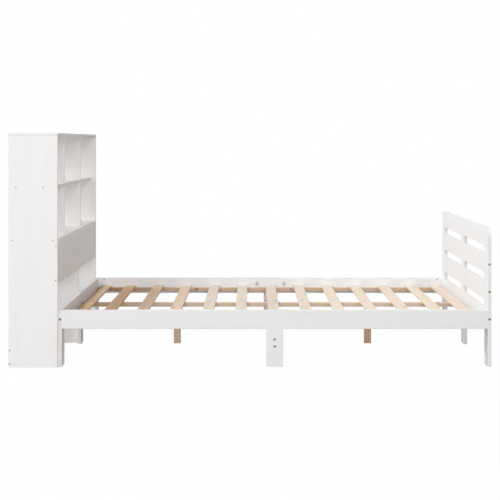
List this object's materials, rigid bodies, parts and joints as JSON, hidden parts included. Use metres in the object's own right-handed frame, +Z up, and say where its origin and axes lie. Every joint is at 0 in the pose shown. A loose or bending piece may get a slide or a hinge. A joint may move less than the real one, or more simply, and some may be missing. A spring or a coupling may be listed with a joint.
{
  "type": "bed frame",
  "caption": "Double bed frame of white-painted pine with an open bookcase headboard, a slotted footboard with round corners, and a bare pine slatted base on a mid beam.",
  "frame": {"origin": "on the floor, at the middle of the whole frame's length and width", "axes": "+X from the head to the foot, +Y to the sleeper's left, +Z up"},
  "size_m": [2.289, 1.487, 1.1085],
  "materials": {
    "white_paint": "satin white paint over pine with faint grain",
    "bare_pine": "planed bare pine, matt",
    "beech": "bare beech dowel",
    "dark_steel": "black zinc, semi-matt",
    "zinc_steel": "bright zinc plate"
  },
  "bodies": {
    "root": {"bookcase_side_right": "white_paint", "bookcase_side_left": "white_paint", "bookcase_top": "white_paint", "upper_shelf": "white_paint", "lower_shelf": "white_paint", "upper_divider_right": "white_paint", "upper_divider_left": "white_paint", "lower_divider_right": "white_paint", "lower_divider_left": "white_paint", "front_panel": "white_paint", "middle_panel": "white_paint", "rear_brace": "white_paint", "head_leg_right": "white_paint", "head_leg_middle": "white_paint", "head_leg_left": "white_paint", "head_board_right": "white_paint", "head_board_left": "white_paint", "foot_post_right": "white_paint", "foot_post_middle": "white_paint", "foot_post_left": "white_paint", "foot_top_board": "white_paint", "foot_board_1_right": "white_paint", "foot_board_1_left": "white_paint", "foot_board_2_right": "white_paint", "foot_board_2_left": "white_paint", "foot_board_3_right": "white_paint", "foot_board_3_left": "white_paint", "rail_right_head": "white_paint", "rail_right_foot": "white_paint", "rail_left_head": "white_paint", "rail_left_foot": "white_paint", "side_leg_right": "white_paint", "side_leg_left": "white_paint", "crossbar": "bare_pine", "batten_right": "bare_pine", "batten_left": "bare_pine", "mid_beam": "bare_pine", "mid_leg_head": "bare_pine", "mid_leg_foot": "bare_pine", "beam_block_head": "bare_pine", "beam_block_foot": "bare_pine", "slat_01": "bare_pine", "slat_02": "bare_pine", "slat_03": "bare_pine", "slat_04": "bare_pine", "slat_05": "bare_pine", "slat_06": "bare_pine", "slat_07": "bare_pine", "slat_08": "bare_pine", "slat_09": "bare_pine", "slat_10": "bare_pine", "slat_11": "bare_pine", "slat_12": "bare_pine", "slat_13": "bare_pine", "frame_bolts": "dark_steel", "barrel_nuts": "zinc_steel", "crescent_nuts": "zinc_steel", "connector_screws": "zinc_steel", "slat_screws": "zinc_steel", "dowels": "beech"}
  },
  "joints": []
}
